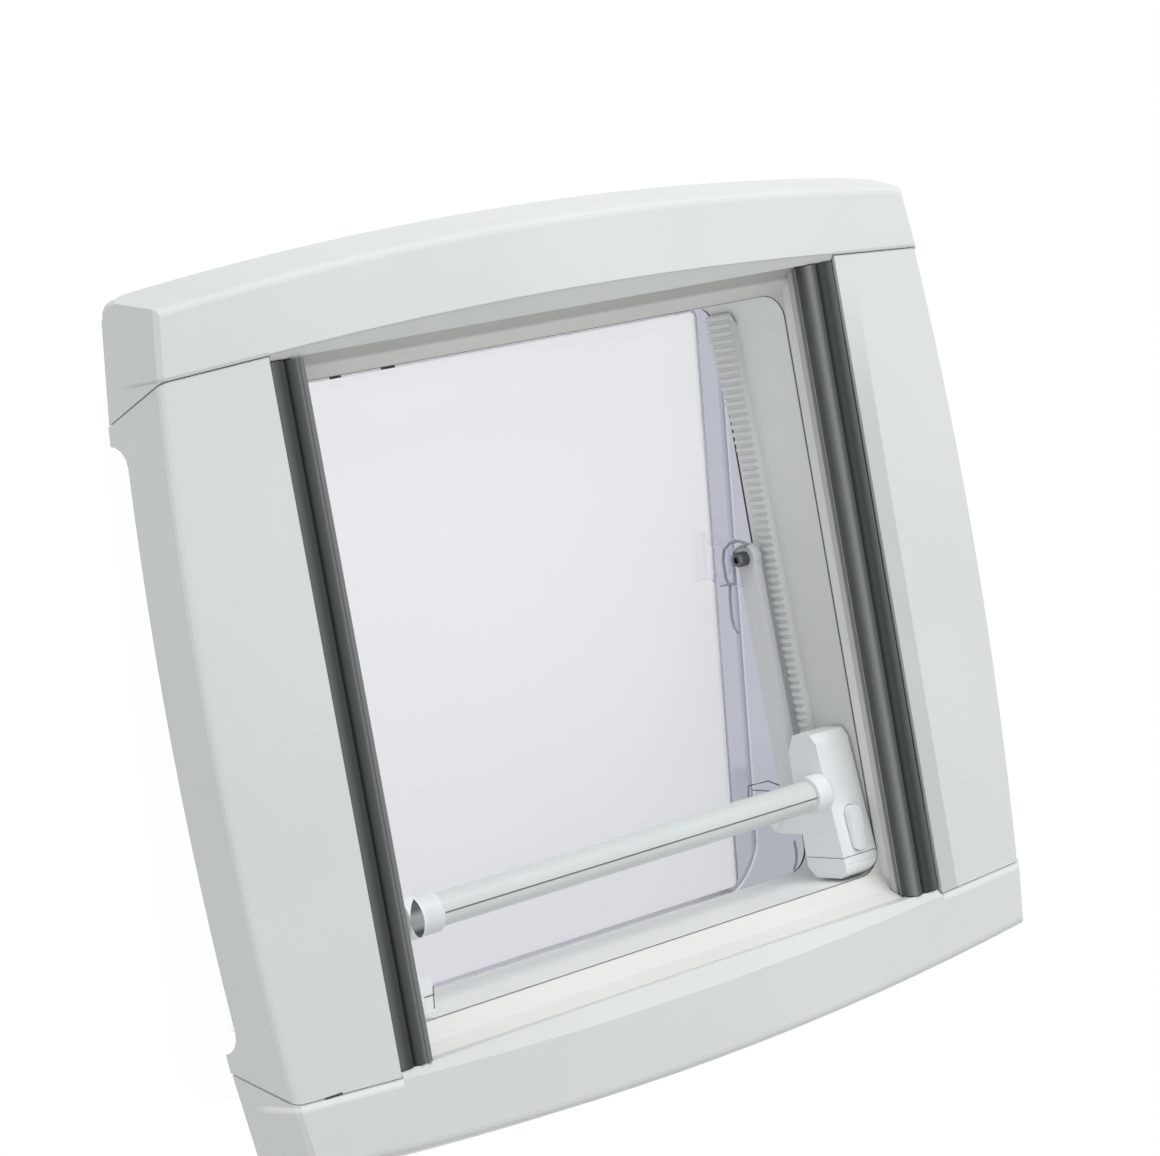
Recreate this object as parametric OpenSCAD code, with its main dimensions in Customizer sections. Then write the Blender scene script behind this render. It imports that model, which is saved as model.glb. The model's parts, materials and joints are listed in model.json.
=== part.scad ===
// Roof hatch for a caravan or camper, seen with the dome upwards and its hinge towards +Y.
// The origin is the middle of the roof cut-out on the outer skin of the roof. Sizes in millimetres.
// Left is the left hand side of somebody who looks up from the room with the hinge side on top, so +X.

/* [Roof and outer frame] */
// width and length of the square hole in the roof
cutout = 400; // [398:1:404]
// thickness of the roof between the two frames
roof_t = 32; // [28:1:40]
// clear width inside the shaft, across the handle bar's ends
open_w = 343; // [338:1:348]
// clear length inside the shaft, from hinge side to handle side
open_l = 334; // [328:1:340]
// radius of the shaft's corners
open_r = 14; // [10:1:18]
// wall of the shaft
shaft_wall = 3; // [2:0.5:4]
// height of the rim above the roof skin
rim_h = 25; // [22:1:27]
// how far the roof flange reaches past the cut-out
flange_reach = 26; // [20:1:30]
// thickness of the roof flange
flange_t = 4; // [3:0.5:6]
// depth of the rib that centres the frame in the cut-out
locator_h = 18; // [10:1:24]
// wall of the centring rib
locator_wall = 2.5; // [2:0.5:4]
// gap between the centring rib and the cut-out
locator_gap = 2; // [1:0.5:3]

/* [Inner frame and covers] */
// depth of the inner frame below the ceiling
cover_depth = 38; // [34:1:44]
// width of the side covers at their joints, from the opening to the front ridge
cover_side = 78.5; // [74:0.5:84]
// width of the cassette covers at the middle, from the opening to the front ridge
cassette_side = 62.3; // [57:0.1:69]
// radius of the bow of the cassette covers' ridge
cassette_bow = 2080; // [1800:20:2600]
// flare of the outer wall from ridge to back
flare = 9; // [6:0.5:12]
// width of the side covers at the middle, from the opening to the front ridge
bow_side = 86.3; // [84:0.1:90]
// radius of the bow of the side covers' ridge
side_bow = 1990; // [1800:10:2400]
// radius of the front edge of every cover
edge_r = 5; // [3:0.5:8]
// plan radius of the four outer corners
corner_r = 8; // [5:1:12]
// wall of the covers
cover_wall = 2.5; // [2:0.25:3.5]
// distance of the joints between the covers from the opening
joint_out = 11.6; // [10:0.2:13]
// slant of the joints between the covers in degrees
joint_slant = 3.4; // [2:0.1:5]
// gap of the joints between the covers
joint_gap = 0.6; // [0.4:0.1:1]
// lean of the cassettes' end walls towards the corners in degrees
end_lean = 7.3; // [4:0.1:9]
// run of the slanting joint on the side walls
mitre_run = 16; // [8:1:24]
// how far the cassettes stand proud of the side covers
proud = 1; // [0.5:0.5:2]
// distance of the side covers' straight inner edge from the opening
side_in = 15; // [13.5:0.5:17]
// distance of the cassette covers' inner edge from the opening at the middle
cassette_in = 23; // [21:0.5:26]
// radius of the bow of the cassette covers' inner edge
inner_bow = 2700; // [2400:50:3200]
// distance of the straight lip behind the cassette covers' inner edge from the opening
lip_out = 13; // [12.5:0.5:14.5]
// run of the sloping face behind the cassette covers' inner edge
lip_run = 10.5; // [8:0.5:12]
// depth of that sloping face
lip_fall = 9; // [7:0.5:11]
// depth of the side covers' wall in the middle of its length
side_depth = 28; // [24:1:32]
// distance of the notch in the side covers' wall from the joint
notch_out = 21.6; // [18:0.2:28]
// radius of the notch
notch_r = 12; // [8:1:16]
// depth of the opening's edge below the front plane
ledge_back = 32.6; // [30:0.2:34]
// depth of the ledge's front line
ledge_front = 21.6; // [18:0.2:24]
// width of the sloping ledge
ledge_run = 8.8; // [6:0.2:10]
// width and depth of the fine groove between the shaft and the ledge
groove_w = 1.5; // [1:0.1:2]
groove_h = 0.8; // [0.5:0.1:1.2]
// thickness of the ring under the covers
ring_t = 4; // [3:0.5:5]
// distance of the ring's edge from the back of the covers
ring_in = 7; // [6:0.5:10]

/* [Guide rails] */
// width of the outer bulb of a guide rail
rail_outer_w = 10.5; // [8:0.5:12]
// width of the inner bulb of a guide rail
rail_inner_w = 8.4; // [7:0.2:10]
// radius of the outer bulb's edge beside the side cover
rail_edge_r = 2; // [1:0.5:3]
// radius of the outer bulb's other edge
rail_round_r = 4.5; // [3:0.5:5]
// gap between the side cover and the rail
rail_gap = 0.5; // [0.3:0.1:1]
// depth of the rail's front below the front plane
rail_front = 1.4; // [1:0.2:3]
// depth of the inner bulb's foot
rail_low = 20; // [18:0.5:22]
// width of the slots in which the blinds run
rail_slot = 3; // [2:0.5:4]

/* [Dome] */
// how far the dome stands open in degrees
rest_open = 8.9; // [5:0.1:20]
// distance of the hinge line behind the opening
hinge_back = 38; // [36:0.5:41]
// hinge line above the roof skin
hinge_z = 22; // [20:0.5:24]
// distance of the flat inner pane's side edges inside the opening
pane_side = 6.5; // [6:0.5:9]
// distance of the pane's hinge side edge inside the opening
pane_back = 4; // [3:0.5:7]
// reach of the pane past the opening on the handle side
pane_front = 17.5; // [14:0.5:20]
// thickness of the pane
pane_t = 3; // [2:0.5:4]
// how far the pane's upper layer laps over the flange
pane_lap = 4; // [3:0.5:5]
// gap between the shut pane and the rim
shut_gap = 2.6; // [2.6:0.2:4]
// height of the rubber seal on the rim
seal_h = 2.2; // [1.5:0.1:2.2]
// width of the rubber seal
seal_w = 7; // [5:0.5:8]
// reach of the dome's flange past the opening on both sides
dome_side = 54; // [48:0.5:54]
// distance of the dome's side walls outside the opening
dome_wall_side = 17.5; // [17:0.5:22]
// reach of the dome's flange past the opening on the handle side
dome_front = 45; // [39:1:51]
// thickness of the dome's flange
dome_flange_t = 2.5; // [2:0.5:3]
// plan radius of the flange's corners
plate_r = 30; // [20:1:50]
// width of the dome's flange in front of and behind its walls
dome_edge = 16; // [12:1:20]
// height of the dome above its flange
dome_h = 66; // [50:1:80]
// wall of the dome
dome_wall = 3; // [2:0.5:4]
// rise of the dome's shallow arches
dome_rise = 20; // [14:1:26]
// radius of the dome's corners seen from above
dome_r = 42; // [30:1:50]
// distance of the hinges' middle inside the opening's sides
hinge_side = 37.5; // [35:0.5:60]
// width of a hinge leaf
leaf_w = 50; // [40:1:60]
// thickness of the lugs beside a hinge leaf
lug_t = 8; // [6:0.5:10]
// radius of the hinges' knuckles
knuckle_r = 6; // [5:0.25:6.5]
// length and thickness of the hinges' foot plates
foot_l = 20; // [18:1:24]
foot_t = 3; // [2:0.5:4]

/* [Lifting gear] */
// swivel on the dome, distance from the hinge line when shut
swivel_run = 182; // [176:0.5:188]
// swivel on the dome, drop below the hinge line when shut
swivel_drop = 33.6; // [30:0.2:38]
// distance of the arms' middle plane from the shaft's side
arm_side = 11.5; // [10:0.5:12.5]
// height of the carriage's swivels above the roof skin
car_z = 14; // [12:0.5:16]
// thickness of an arm
arm_t = 6; // [5:0.5:7]
// width of an arm
arm_w = 14; // [9:0.5:15]
// radius of an arm's end
arm_end_r = 8; // [7:0.5:9]
// radius of the swivel pins
pin_r = 2.5; // [2:0.25:3]
// running clearance round pins
pin_gap = 0.1; // [0.05:0.01:0.1]
// diameter of the handle bar
bar_d = 18; // [15:0.5:19]
// drop of the bar below the carriage's swivel
bar_drop = 42; // [38:0.5:44]
// distance of the bar from the carriage's swivel towards the hinge side
bar_run = 17; // [12:0.5:20]
// depth of the housings below the bar's axis
housing_under = 11; // [10.5:0.5:13]
// distance of the slider housings' inner face from the shaft's side
housing_side = 26; // [24:0.5:28]
// length of a slider housing
housing_l = 83; // [78:1:88]
// end of the housings past the carriage's swivel
housing_end = 33; // [30:0.5:36]
// gap between the housings' ends and the shaft's end wall
end_gap = 2; // [1.5:0.5:4]
// running clearance beside the racks and walls
slide_gap = 1; // [0.6:0.1:1.5]
// length of the end cap of a housing
cap_l = 12; // [9:0.5:15]
// length of the release tab under a housing
tab_l = 26; // [20:1:32]
// width of the release tab
tab_w = 9; // [7:0.5:11]
// thickness of the brackets on the dome
bracket_t = 4; // [3:0.5:5]
// reach of a bracket from its swivel towards the handle side
bracket_front = 16; // [14:0.5:20]
// reach of a bracket from its swivel towards the hinge side
bracket_rear = 11; // [9:0.5:14]
// radius of a bracket's lower corners
bracket_r = 8; // [6:0.5:9]
// width of the border round a bracket's window
bracket_border = 5; // [4:0.5:6]
// size of the brackets' feet past their plate on both sides
bracket_foot = 2; // [1:0.5:4]
// width, length and height of the catch loops on the dome's flange
catch_w = 11; // [9:0.5:12]
catch_l = 20; // [14:1:30]
catch_h = 8; // [6:0.5:9]
// gap between the catch loops and the pane
catch_gap = 1.5; // [1:0.1:2]
// distance of the catch loops from the pane's edge on the handle side
catch_in = 49.5; // [40:0.5:60]
// how far the racks stand out from the shaft wall
rack_t = 6; // [5:0.5:7]
// distance between the ridges of a rack
rack_pitch = 4.5; // [4:0.25:6]
// radius of the racks' upper edge
rack_bow = 3220; // [2800:20:3600]
// lower edge of the racks at the handle side, below the roof skin
rack_low = 4; // [2:0.5:6]
// lower edge of the racks at the hinge side, above the roof skin
rack_high = 5.2; // [3:0.2:7]

/* [Hidden] */
$fa = 3;
$fs = 1.2;
eps = 0.02;
far = 2 * cutout;
face_z = -(roof_t + cover_depth);
ceil_z = -roof_t;
hx = open_w / 2;
hy = open_l / 2;
ledge_z = face_z + ledge_back;
pane_z = rim_h + shut_gap;
flange_z = pane_z + 0.5;
flange_half = cutout / 2 + flange_reach;
jx = hx + cover_side;
cassette_reach = hy + cassette_side;
side_reach = hx + bow_side;
joint_y = hy + joint_out;
side_inner = hx + side_in;
cassette_inner = hy + cassette_in;
lip_y = hy + lip_out;
ledge_out = lip_y + 2.4;
notch_y = joint_y - notch_out;
corner_y = cassette_reach - jx * jx / (2 * cassette_bow) + flare;
ring_x = jx - ring_in;
ring_y = corner_y - ring_in;
rail_x1 = side_inner - rail_gap;
rail_x2 = rail_x1 - rail_outer_w;
rail_x3 = rail_x2 - rail_inner_w;
rail_base = ledge_back - 3;
hinge_x = hx - hinge_side;
arm_x = hx - arm_side;
housing_x = hx - housing_side;
hinge_y = hy + hinge_back;
pane_w = open_w - 2 * pane_side;
pane_y = hy - pane_back;
pane_l = pane_y + hy + pane_front;
dome_w = open_w + 2 * dome_side;
dome_y = hy + dome_front;
dome_back = hinge_y - 10;
dome_mid = (dome_back - dome_y) / 2;
dome_len = dome_back + dome_y;
shell_w = open_w + 2 * dome_wall_side;
shell_l = dome_len - 2 * dome_edge;
leaf_half = leaf_w / 2;
swivel_y = hinge_y - swivel_run;
swivel_z = hinge_z - swivel_drop;
carr_y = hinge_y - swivel_run * cos(rest_open) - swivel_drop * sin(rest_open);
dome_piv_z = hinge_z + swivel_run * sin(rest_open) - swivel_drop * cos(rest_open);
car_y = housing_end + end_gap - hy;
arm_l = norm([carr_y - car_y, dome_piv_z - car_z]);
arm_slope = atan2(dome_piv_z - car_z, carr_y - car_y);
bar_y = car_y + bar_run;
bar_z = car_z - bar_drop;
bracket_x = arm_x - arm_t / 2 - 1 - bracket_t;
ear_t = arm_x - arm_t / 2 - 1 - housing_x;
cap_y = car_y - housing_end + cap_l;

// plate with rounded corners, middle of its length at the given place
module rounded(w, l, r) {
    square([w - 2 * r, l], center = true);
    square([w, l - 2 * r], center = true);
    for (x = [-1, 1])
        for (y = [-1, 1])
            translate([x * (w / 2 - r), y * (l / 2 - r)]) circle(r = r);
}

// a shape drawn in the Y-Z plane, drawn out along X between two places
module along_x(x0, x1) {
    translate([x0, 0, 0])
        rotate([90, 0, 90])
            linear_extrude(x1 - x0) children();
}

// a shape drawn in the X-Z plane, drawn out along Y between two places
module along_y(y0, y1) {
    translate([0, y1, 0])
        rotate([90, 0, 0])
            linear_extrude(y1 - y0) children();
}

// pieces of the dome are drawn shut and stand open at rest
module opened() {
    translate([0, hinge_y, hinge_z])
        rotate([-rest_open, 0, 0])
            translate([0, -hinge_y, -hinge_z]) children();
}

module screw_bosses(r, z0, z1) {
    for (x = [-1, 1])
        for (y = [-110, 0, 110])
            translate([x * (hx + shaft_wall + 8), y, z0]) cylinder(r = r, h = z1 - z0);
}

module shaft_plan(grow) {
    rounded(open_w + 2 * grow, open_l + 2 * grow, open_r + grow);
}

// square plan of the rib that centres the shaft in the cut-out
module locator_plan(inset) {
    size = cutout - 2 * locator_gap - 2 * inset;
    rounded(size, size, open_r + 2 - inset);
}

module light_shaft() {
    color("white") difference() {
        union() {
            linear_extrude(flange_t) locator_plan(0);
            translate([0, 0, ledge_z])
                linear_extrude(rim_h - ledge_z) shaft_plan(shaft_wall);
            translate([0, 0, -locator_h])
                linear_extrude(locator_h + 1)
                    difference() {
                        locator_plan(0);
                        locator_plan(locator_wall);
                    }
            screw_bosses(6, -locator_h, 1);
        }
        translate([0, 0, ledge_z - 1])
            linear_extrude(rim_h - ledge_z + 2) shaft_plan(0);
        translate([0, 0, ledge_z - 1]) linear_extrude(groove_h + 1) shaft_plan(groove_w);
        screw_bosses(1.7, -locator_h - 1, -2);
    }
}

module roof_flange() {
    color("white")
        linear_extrude(flange_t)
            difference() {
                rounded(2 * flange_half, 2 * flange_half, 30);
                locator_plan(0);
            }
}

// outline of the ledge on the hinge and handle sides, in Y-Z with Y outwards
module ledge_shape() {
    translate([0, face_z])
        polygon([[hy, ledge_back], [hy + ledge_run, ledge_front], [ledge_out, ledge_front],
            [ledge_out, cover_depth], [hy + shaft_wall + joint_gap, cover_depth],
            [hy + shaft_wall + joint_gap, ledge_back]]);
}

// steep wall from the ledge up to the cassette covers' lip
module ledge_wall() {
    top = lip_fall + 2 + joint_gap;
    translate([0, face_z])
        polygon([[hy + ledge_run, ledge_front], [lip_y, top], [ledge_out, top], [ledge_out, ledge_front + 1],
            [hy + ledge_run, ledge_front + 1]]);
}

// seat of a guide rail with a low upstand beside the opening, in X-Z
module rail_seat() {
    translate([0, face_z])
        polygon([[hx, cover_depth], [hx, rail_low + 4], [hx + 1, rail_low + joint_gap],
            [rail_x2 - joint_gap / 2, rail_low + joint_gap], [rail_x2 - joint_gap / 2, rail_base],
            [rail_x1, rail_base], [rail_x1, cover_depth]]);
}

module ring_plan(grow) {
    rounded(2 * (ring_x + grow), 2 * (ring_y + grow), 10);
}

module inner_frame() {
    ledge_half = rail_x3 - 0.4;
    color("white") {
        difference() {
            union() {
                translate([0, 0, ceil_z - ring_t])
                    linear_extrude(ring_t) ring_plan(0);
                for (y = [0, 1])
                    mirror([0, y, 0]) {
                        along_x(-hx - 1, hx + 1) ledge_shape();
                        along_x(-ledge_half, ledge_half) ledge_wall();
                    }
                for (x = [0, 1])
                    mirror([x, 0, 0]) along_y(-ledge_out, ledge_out) rail_seat();
                // thin fillings of the opening's rounded corners
                translate([-hx - 1, -hy - 1, ledge_z - 1]) cube([2 * hx + 2, 2 * hy + 2, 1]);
            }
            translate([0, 0, face_z])
                linear_extrude(cover_depth + 1) shaft_plan(0);
            translate([0, 0, ledge_z])
                linear_extrude(cover_depth) shaft_plan(shaft_wall + joint_gap);
            screw_bosses(2.2, face_z, 0);
        }
    }
}

// points of a quarter round from the top of an edge to its side, centre and radius given
function quarter(cx, cy, r, from) = [for (i = [0 : 4]) [cx + r * cos(from + i * 22.5), cy + r * sin(from + i * 22.5)]];

// radial profile of a bowed cover: flat front, rounded ridge, flared wall
module bow_profile(ridge, depth, inset, width) {
    translate([0, face_z])
        polygon(concat([[ridge - width, inset]],
            quarter(ridge - edge_r, edge_r, edge_r - inset, -90),
            [[ridge + flare - inset, depth + inset], [ridge - width, depth + inset]]));
}

module cassette_bow_form(inset) {
    translate([0, cassette_reach - cassette_bow, 0])
        rotate([0, 0, 90 - 9])
            rotate_extrude(angle = 18, $fn = 1440)
                bow_profile(cassette_bow, cover_depth, inset, cassette_reach - lip_y + 25);
}

// block beyond an end wall or its rounded front edge, at the given slope
module beyond_end(slope, inset) {
    translate([jx - edge_r, joint_y, face_z + edge_r])
        rotate([0, 0, end_lean])
            rotate([0, slope, 0])
                translate([edge_r - inset, -far / 8, -far / 12]) cube([far / 6, far / 4, far / 6]);
}

// shape beyond a rounded corner, seen from above
module beyond_corner() {
    back_y = corner_y;
    back_x = jx + flare - tan(end_lean) * (back_y - joint_y);
    translate([0, 0, face_z - 1])
        linear_extrude(cover_depth + 9)
            polygon(concat([[back_x + 20, back_y - 34], [back_x + 20, back_y + 20], [back_x - 40, back_y + 20],
                [back_x - 40, back_y + 10]],
                [for (i = [4 : -1 : 0])
                    quarter(back_x - corner_r - 1, back_y - corner_r - 1, corner_r + 0.6, 0)[i]]));
}

// outside of a cassette cover with its end walls and rounded corners
module cassette_outside() {
    wall_lean = atan(flare / cover_depth);
    difference() {
        difference() {
            difference() {
                cassette_bow_form(0);
                for (x = [0, 1])
                    mirror([x, 0, 0]) beyond_end(wall_lean, 0);
            }
            for (x = [0, 1])
                mirror([x, 0, 0]) beyond_end(40, 0);
        }
        for (x = [0, 1])
            mirror([x, 0, 0]) beyond_corner();
    }
}

// room inside a cassette cover
module cassette_room() {
    difference() {
        cassette_bow_form(cover_wall);
        for (x = [0, 1])
            mirror([x, 0, 0]) beyond_end(atan(flare / cover_depth), cover_wall);
    }
}

// cassette cover before its joints are cut
module cassette_blank() {
    difference() {
        translate([0, 0, -proud]) cassette_outside();
        difference() {
            translate([0, 0, -proud]) cassette_room();
            along_x(-side_inner, side_inner)
                translate([0, face_z])
                    polygon([[lip_y - 1, -3], [cassette_inner + 3, -3], [cassette_inner + 3, 1],
                        [cassette_inner + 3 - lip_run, lip_fall + 2], [lip_y - 1, lip_fall + 2]]);
        }
    }
}

// block in front of and inside a cassette cover's inner edge: bowed and sloping
module before_inner_edge() {
    half = asin(side_inner / inner_bow);
    translate([0, cassette_inner - inner_bow, face_z])
        rotate([0, 0, 90 - half])
            rotate_extrude(angle = 2 * half, $fn = 1440)
                polygon([[inner_bow - far / 12, -5], [inner_bow, -5], [inner_bow, 0.4 - proud],
                    [inner_bow - lip_run, lip_fall - proud], [inner_bow - far / 12, lip_fall - proud]]);
}

// turns a joint of the covers about its outer end
module slanted() {
    translate([jx, joint_y, 0])
        rotate([0, 0, -joint_slant])
            translate([-jx, -joint_y, 0]) children();
}

module cassette_cover() {
    difference() {
        difference() {
            difference() {
                cassette_blank();
                // straight lip
                translate([-side_inner, hy - far / 8, face_z - 5])
                    cube([2 * side_inner, far / 8 + lip_out, 2 * cover_depth]);
            }
            before_inner_edge();
        }
        // joints with the side covers: straight in front, slanting down the side walls
        for (x = [0, 1])
            mirror([x, 0, 0])
                slanted()
                    along_x(side_inner - 1, side_inner + far / 8)
                        translate([0, face_z])
                            polygon([[hy - far / 8, -5], [joint_y + joint_gap, -5], [joint_y + joint_gap, 0],
                                [joint_y + joint_gap - mitre_run, cover_depth],
                                [joint_y - mitre_run, 2 * cover_depth], [hy - far / 8, 2 * cover_depth]]);
        // room for the ring
        translate([0, 0, ceil_z - ring_t - 0.3])
            linear_extrude(cover_depth / 2) ring_plan(0.5);
    }
}

module cassette_cover_hinge_side() {
    color("white") cassette_cover();
}

module cassette_cover_handle_side() {
    color("white") mirror([0, 1, 0]) cassette_cover();
}

module side_outside(inset) {
    translate([side_reach - side_bow, 0, 0])
        rotate([0, 0, -6])
            rotate_extrude(angle = 12, $fn = 1440)
                bow_profile(side_bow, cover_depth, inset, side_reach - side_inner + 10);
}

// block beyond a side cover's slanting joint
module beyond_joint() {
    translate([jx, joint_y, face_z])
        rotate([atan(mitre_run / cover_depth), 0, -joint_slant])
            translate([side_inner - jx - 30, 0, -far / 20]) cube([far / 6, far / 8, far / 6]);
}

module side_blank() {
    difference() {
        difference() {
            side_outside(0);
            beyond_joint();
        }
        mirror([0, 1, 0]) beyond_joint();
    }
}

module side_cover() {
    notch_end = notch_y - mitre_run / 4;
    difference() {
        difference() {
            side_blank();
            side_outside(cover_wall);
        }
        translate([side_inner - far / 8, -far / 3, face_z - 1]) cube([far / 8, 2 * far / 3, 2 * cover_depth]);
        // shallower wall between the two notches
        along_x(jx - 20, jx + far / 10)
            translate([0, face_z])
                polygon(concat([[-notch_end, 2 * cover_depth]],
                    quarter(notch_r - notch_end, side_depth + notch_r, notch_r, 180),
                    quarter(notch_end - notch_r, side_depth + notch_r, notch_r, 270),
                    [[notch_end, 2 * cover_depth]]));
    }
    // rib that seats on the ring
    rib_end = joint_y - mitre_run - 22;
    translate([side_inner + 30, 0, 0])
        along_y(-rib_end, rib_end)
            translate([0, face_z + cover_wall - eps]) square([3, cover_depth - cover_wall - ring_t]);
}

module side_cover_left() {
    color("white") side_cover();
}

module side_cover_right() {
    color("white") mirror([1, 0, 0]) side_cover();
}

module rail_shape() {
    x2 = rail_x2;
    x3 = rail_x3;
    base = rail_base;
    difference() {
        translate([0, face_z]) {
            polygon(concat([[x2, base]],
                quarter(x2 + rail_round_r, rail_front + rail_round_r, rail_round_r, 180),
                quarter(rail_x1 - rail_edge_r, rail_front + rail_edge_r, rail_edge_r, 270),
                [[rail_x1, base]]));
            translate([x3 + rail_inner_w / 2, rail_front + rail_inner_w / 2]) circle(d = rail_inner_w);
            translate([x3, rail_front + rail_inner_w / 2])
                square([rail_inner_w + eps, rail_low - rail_front - rail_inner_w / 2]);
        }
        translate([x3 - 1, face_z + 13]) square([rail_inner_w - 1, rail_slot]);
        translate([x2 - 1, face_z + 23]) square([rail_outer_w - 2, rail_slot]);
    }
}

module guide_rail() {
    along_y(-lip_y + joint_gap, lip_y - joint_gap) rail_shape();
}

module guide_rail_left() {
    color("dimgray") guide_rail();
}

module guide_rail_right() {
    color("dimgray") mirror([1, 0, 0]) guide_rail();
}

// outline of a rack in Y-Z: the upper edge is a shallow bow, the lower edge is straight
module rack_outline() {
    bow_mid = -1.5 * hy;
    from = 6.5 - hy;
    to = hy - 6.5;
    polygon(concat(
        [for (i = [0 : 24]) let (y = from + (to - from) * i / 24, d = y - bow_mid)
            [y, 1 + rack_bow - sqrt(rack_bow * rack_bow - d * d)]],
        [[to, rack_high], [from, -rack_low]]));
}

// ridged face of a rack seen along Z
function comb(n) = concat([[hx, -hy], [hx, hy]], [for (i = [n : -1 : 0]) each [
    [hx - rack_t + 1.5, -hy + 4 + (i + 0.75) * rack_pitch], [hx - rack_t, -hy + 4 + (i + 0.6) * rack_pitch],
    [hx - rack_t, -hy + 4 + (i + 0.15) * rack_pitch], [hx - rack_t + 1.5, -hy + 4 + i * rack_pitch]]]);

module rack() {
    run = sqrt(open_r * open_r - (open_r - rack_t) * (open_r - rack_t));
    difference() {
        intersection() {
            along_x(hx - rack_t - 1, hx) rack_outline();
            translate([0, 0, face_z])
                linear_extrude(cover_depth + roof_t + rim_h + 1) polygon(comb(floor((2 * hy - 10) / rack_pitch)));
        }
        // ends inside the shaft's rounded corners
        for (y = [0, 1])
            mirror([0, y, 0])
                translate([hx, hy - open_r, face_z])
                    rotate([0, 0, atan2(rack_t, run)])
                        translate([-0.3, -open_r, 0]) cube([open_r, 4 * open_r, far / 2]);
    }
}

module rack_left() {
    color("whitesmoke") rack();
}

module rack_right() {
    color("whitesmoke") mirror([1, 0, 0]) rack();
}

module rim_seal() {
    color("dimgray")
        translate([0, 0, rim_h])
            linear_extrude(seal_h)
                difference() {
                    shaft_plan(seal_w);
                    shaft_plan(0.5);
                }
}

module hinge_base() {
    translate([hinge_x, 0, 0]) {
        for (x = [-1, 1])
            along_x(x > 0 ? leaf_half + 1 : -leaf_half - 1 - lug_t, x > 0 ? leaf_half + 1 + lug_t : -leaf_half - 1) {
                translate([hinge_y, hinge_z]) circle(r = knuckle_r);
                translate([hinge_y - knuckle_r, flange_t]) square([2 * knuckle_r, hinge_z - flange_t]);
            }
        translate([-leaf_half - 1 - lug_t, hinge_y + 11 - foot_l, flange_t])
            cube([2 * (leaf_half + 1 + lug_t), foot_l, foot_t]);
        translate([-leaf_half - lug_t, hinge_y, hinge_z])
            rotate([0, 90, 0]) cylinder(r = pin_r, h = 2 * (leaf_half + lug_t));
    }
}

module hinge_base_left() {
    color("lightgray") hinge_base();
}

module hinge_base_right() {
    color("lightgray") mirror([1, 0, 0]) hinge_base();
}

module hinge_leaf() {
    opened()
        difference() {
            union() {
                translate([hinge_x - leaf_half, hinge_y, hinge_z])
                    rotate([0, 90, 0]) cylinder(r = knuckle_r, h = 2 * leaf_half);
                along_x(hinge_x - leaf_half, hinge_x + leaf_half)
                    polygon([[hinge_y - knuckle_r, hinge_z], [hinge_y + 1, hinge_z + knuckle_r - 0.1],
                        [hinge_y - 6, flange_z + pane_t + 2.5],
                        [hinge_y - 24, flange_z + pane_t + 2.5], [hinge_y - 24, flange_z + pane_t - 0.5],
                        [hinge_y - 9.4, flange_z + pane_t - 0.5], [hinge_y - 9.4, flange_z]]);
            }
            translate([hinge_x - leaf_w, hinge_y, hinge_z])
                rotate([0, 90, 0]) cylinder(r = pin_r + pin_gap, h = 2 * leaf_w);
        }
}

module hinge_leaf_left() {
    color("lightgray") hinge_leaf();
}

module hinge_leaf_right() {
    color("lightgray") mirror([1, 0, 0]) hinge_leaf();
}

// upper limit of the dome in one direction: sloping sides under a shallow arch
module arch(half, inset) {
    rise = dome_h;
    lean = 0.42;
    bow = (half * half + dome_rise * dome_rise) / (2 * dome_rise);
    intersection() {
        polygon([[-half + inset, 0], [half - inset, 0], [half - inset - lean * rise, rise],
            [-half + inset + lean * rise, rise]]);
        translate([0, rise - bow]) circle(r = bow - inset, $fn = 720);
    }
}

module dome_form(inset) {
    translate([0, dome_mid, flange_z])
        intersection() {
            along_x(-shell_w / 2, shell_w / 2) arch(shell_l / 2, inset);
            along_y(-shell_l / 2, shell_l / 2) arch(shell_w / 2, inset);
            translate([0, 0, -1])
                linear_extrude(dome_h + 2) rounded(shell_w - 2 * inset, shell_l - 2 * inset, dome_r - inset);
        }
}

module pane_plan(grow) {
    translate([0, pane_y - pane_l / 2]) rounded(pane_w + 2 * grow, pane_l + 2 * grow, 3 + 1.5 * grow);
}

module dome_shell() {
    color("lavender", 0.5)
        opened()
            difference() {
                union() {
                    translate([0, dome_mid, flange_z])
                        linear_extrude(dome_flange_t) rounded(dome_w, dome_len, plate_r);
                    dome_form(0);
                }
                difference() {
                    dome_form(dome_wall);
                    translate([-far / 2, -far / 2, flange_z - 1]) cube([far, far, dome_flange_t + 1]);
                }
                translate([0, 0, flange_z - 1]) linear_extrude(dome_flange_t + 2) pane_plan(0.5);
            }
}

module dome_pane() {
    color("white")
        opened() {
            translate([0, 0, pane_z]) linear_extrude(flange_z + dome_flange_t - pane_z + eps) pane_plan(0);
            translate([0, 0, flange_z + dome_flange_t]) linear_extrude(pane_t - 0.5) pane_plan(pane_lap);
        }
}

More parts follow.
